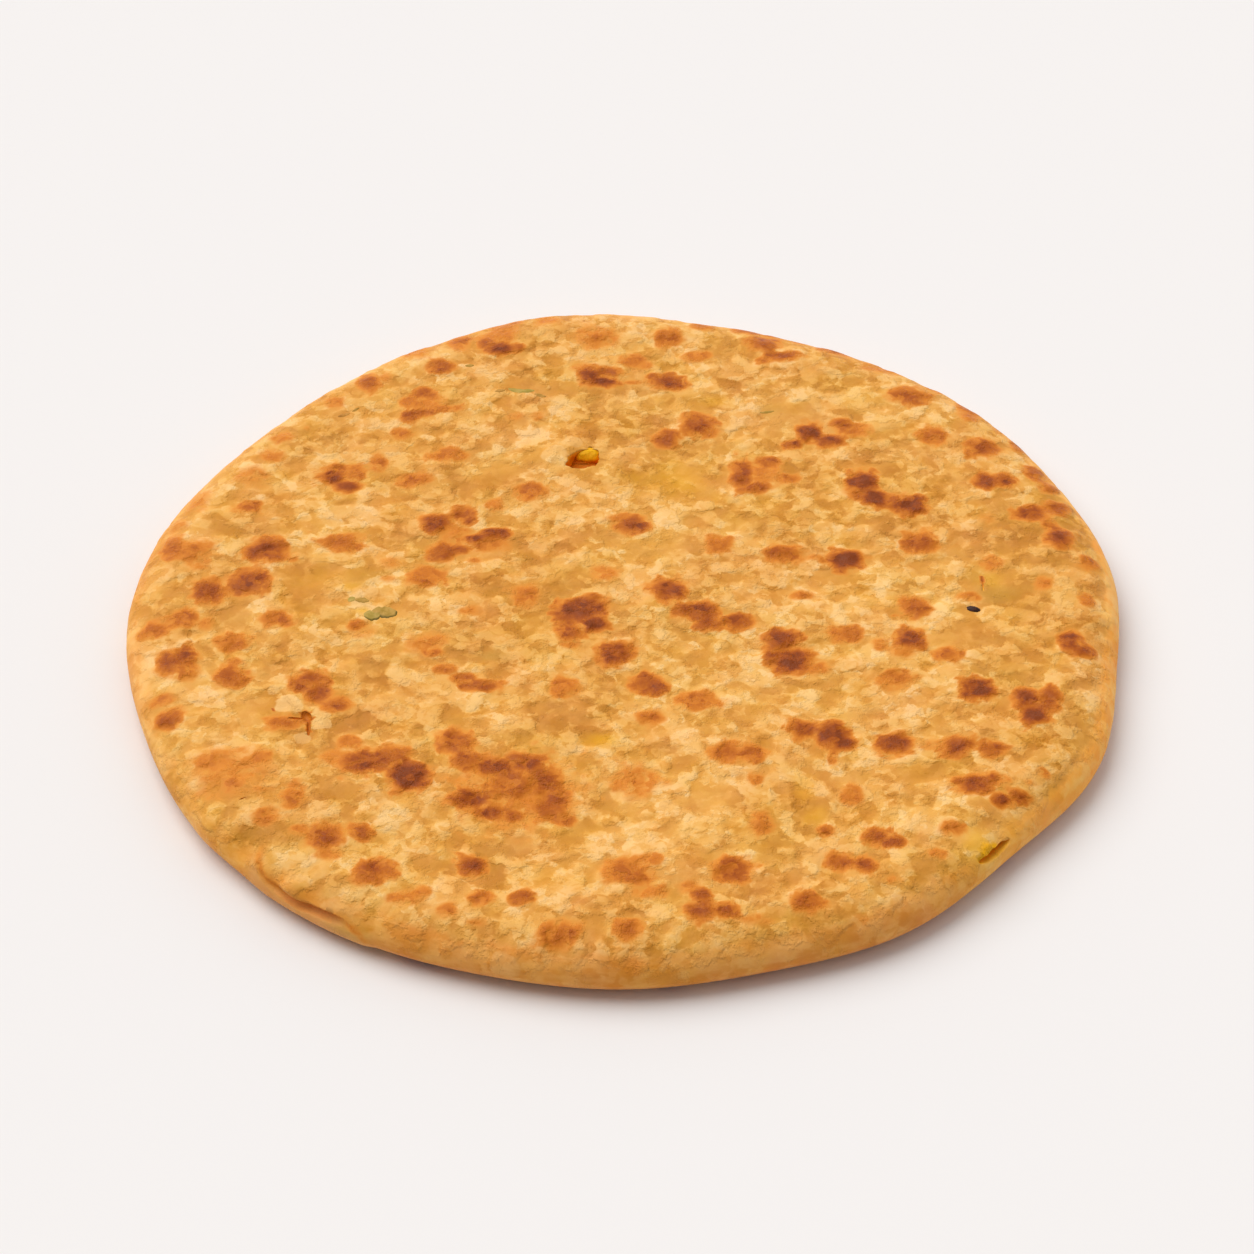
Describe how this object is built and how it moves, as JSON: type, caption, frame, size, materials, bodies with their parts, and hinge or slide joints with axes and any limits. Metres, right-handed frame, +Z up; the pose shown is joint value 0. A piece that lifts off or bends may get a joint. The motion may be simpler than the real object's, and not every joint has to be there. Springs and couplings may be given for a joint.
{
  "type": "aloo paratha",
  "caption": "Round griddled flatbread of flaky browned wheat dough, rolled thin over a spiced potato filling that shows at a rim split and a torn blister.",
  "frame": {"origin": "on the table under the middle of the bread", "axes": "+Z up through the bread's thickness; -Y is the edge nearest the viewer in the picture, and +X is to the viewer's right"},
  "size_m": [0.1681, 0.1699, 0.0099],
  "materials": {
    "toasted_dough": "pan-fried wheat dough, golden with browned griddle spots and a light sheen of oil",
    "potato_filling": "soft mashed potato, yellow with turmeric, moist"
  },
  "bodies": {
    "root": {"dough": "toasted_dough", "filling": "potato_filling"}
  },
  "joints": []
}
